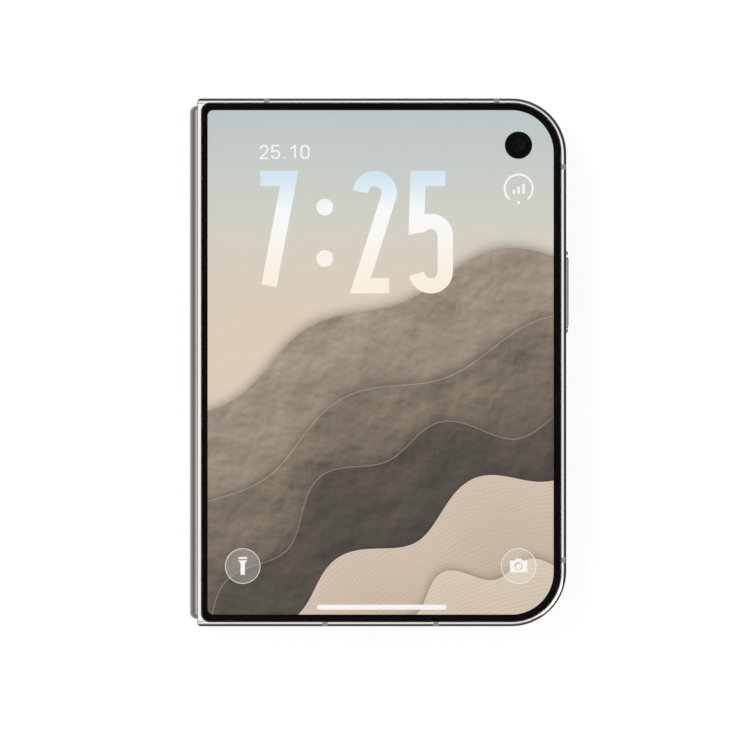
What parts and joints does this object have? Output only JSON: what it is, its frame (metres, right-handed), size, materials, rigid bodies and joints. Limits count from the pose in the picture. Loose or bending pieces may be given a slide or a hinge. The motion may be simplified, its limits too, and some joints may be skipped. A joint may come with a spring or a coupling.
{
  "type": "foldable smartphone",
  "caption": "Book-style folding phone, closed: cover display in a rounded metal rim, geared two-axis hinge with a round spine, side and top buttons, rear camera island.",
  "frame": {"origin": "middle of the bottom of the bounding box, with the phone closed and lying on its back", "axes": "+X from the hinge to the free edge, +Y to the top of the phone, +Z out of the cover display"},
  "size_m": [0.0866, 0.1208, 0.0122],
  "materials": {
    "rim_metal": "polished warm silver rim",
    "spine_metal": "satin warm grey hinge cover",
    "antenna_polymer": "satin grey inserts in the rim",
    "back_glass": "frosted warm white, opaque",
    "cover_glass": "clear gloss with a black printed border behind it",
    "lit_display": "lit display behind the cover glass",
    "island_metal": "bead-blasted",
    "lens_ring_metal": "turned and polished",
    "lens_glass": "coated lens cover",
    "camera_black": "black camera barrels",
    "flash_lens": "translucent flash lens",
    "battery_foil": "black pouch cells",
    "board_laminate": "green circuit board",
    "shield_steel": "pressed shields",
    "coil_copper": "wound copper",
    "magnet_metal": "plated magnets",
    "socket_steel": "socket shell and tongue",
    "module_black": "moulded black modules",
    "speaker_cloth": "fine woven mesh",
    "button_metal": "polished volume buttons",
    "sensor_metal": "darker fingerprint button and its surround",
    "inner_display": "dark flexible display",
    "bezel_soft": "soft black rim and pads",
    "support_steel": "thin display supports",
    "hinge_steel": "hinge steel",
    "gear_steel": "sintered gears and shafts",
    "screw_steel": "small screws",
    "flex_film": "amber flexible circuit"
  },
  "bodies": {
    "rear_leaf": {"rear_frame": "rim_metal", "rear_antenna_breaks": "antenna_polymer", "rear_cover_glass": "back_glass", "camera_island": "island_metal", "camera_lens_rings": "lens_ring_metal", "camera_lens_covers": "lens_glass", "main_camera_module": "camera_black", "wide_camera_module": "camera_black", "flash_diffuser": "flash_lens", "rear_battery": "battery_foil", "logic_board": "board_laminate", "board_shields": "shield_steel", "charging_coil": "coil_copper", "magnet_ring": "magnet_metal", "usb_socket": "socket_steel", "loudspeaker": "module_black", "speaker_mesh": "speaker_cloth", "haptic_motor": "shield_steel", "power_button_surround": "sensor_metal", "button_switches": "module_black", "rear_display_panel": "inner_display", "rear_support_plate": "support_steel", "rear_inner_bezel": "bezel_soft", "rear_hinge_shaft": "hinge_steel", "rear_drive_gears": "gear_steel", "rear_screws": "screw_steel", "rear_closing_magnets": "magnet_metal"},
    "power_button": {"power_button": "sensor_metal"},
    "volume_up": {"volume_up_button": "button_metal"},
    "volume_down": {"volume_down_button": "button_metal"},
    "front_leaf": {"front_frame": "rim_metal", "front_antenna_breaks": "antenna_polymer", "cover_glass": "cover_glass", "cover_display": "lit_display", "cover_camera": "camera_black", "front_battery": "battery_foil", "earpiece": "module_black", "front_board": "board_laminate", "front_display_panel": "inner_display", "front_support_plate": "support_steel", "front_inner_bezel": "bezel_soft", "inner_camera": "camera_black", "front_hinge_shaft": "hinge_steel", "front_drive_gears": "gear_steel", "front_screws": "screw_steel", "front_closing_magnets": "magnet_metal", "closing_pads": "bezel_soft"},
    "spine": {"spine_cover": "spine_metal", "hinge_end_housings": "hinge_steel", "hinge_support_blocks": "hinge_steel", "friction_clips": "hinge_steel", "spine_screws": "screw_steel", "fold_display": "inner_display", "fold_support_mesh": "support_steel", "hinge_flex_cable": "flex_film"},
    "rear_sync": {"rear_sync_shaft": "gear_steel"},
    "front_sync": {"front_sync_shaft": "gear_steel"},
    "rear_wing": {"rear_wing_plate": "support_steel"},
    "front_wing": {"front_wing_plate": "support_steel"}
  },
  "joints": [
    {"name": "rear_fold", "type": "hinge", "parent": "rear_leaf", "child": "spine", "pos_m": [-0.04041, -0.0001, 0.0057], "axis": [0, -1, 0], "range_deg": [0, 90], "deforming": ["fold_display", "fold_support_mesh", "hinge_flex_cable"]},
    {"name": "front_fold", "type": "hinge", "parent": "spine", "child": "front_leaf", "pos_m": [-0.04041, -0.0001, 0.0084], "axis": [0, -1, 0], "range_deg": [0, 90]},
    {"name": "rear_sync_turn", "type": "hinge", "parent": "spine", "child": "rear_sync", "pos_m": [-0.04178, -0.0001, 0.0063], "axis": [0, -1, 0], "range_deg": [0, 90]},
    {"name": "front_sync_turn", "type": "hinge", "parent": "spine", "child": "front_sync", "pos_m": [-0.04178, -0.0001, 0.0078], "axis": [0, -1, 0], "range_deg": [-90, 0]},
    {"name": "rear_wing_tilt", "type": "hinge", "parent": "rear_leaf", "child": "rear_wing", "pos_m": [-0.03141, -0.0001, 0.0061], "axis": [0, -1, 0], "range_deg": [-35, 0]},
    {"name": "front_wing_tilt", "type": "hinge", "parent": "front_leaf", "child": "front_wing", "pos_m": [-0.03141, -0.0001, 0.008], "axis": [0, -1, 0], "range_deg": [0, 35]},
    {"name": "power_press", "type": "slide", "parent": "rear_leaf", "child": "power_button", "axis": [-1, 0, 0], "range_m": [0, 0.0003], "stiffness_N_per_m": 400, "springref_m": -0.0005},
    {"name": "volume_up_press", "type": "slide", "parent": "rear_leaf", "child": "volume_up", "axis": [0, -1, 0], "range_m": [0, 0.0003], "stiffness_N_per_m": 400, "springref_m": -0.0005},
    {"name": "volume_down_press", "type": "slide", "parent": "rear_leaf", "child": "volume_down", "axis": [0, -1, 0], "range_m": [0, 0.0003], "stiffness_N_per_m": 400, "springref_m": -0.0005}
  ],
  "couplings": [
    {"joint": "front_fold", "follows": "rear_fold", "ratio": 1},
    {"joint": "rear_sync_turn", "follows": "rear_fold", "ratio": 1},
    {"joint": "front_sync_turn", "follows": "rear_fold", "ratio": -1},
    {"joint": "rear_wing_tilt", "follows": "rear_fold", "ratio": -0.38889},
    {"joint": "front_wing_tilt", "follows": "rear_fold", "ratio": 0.38889}
  ]
}
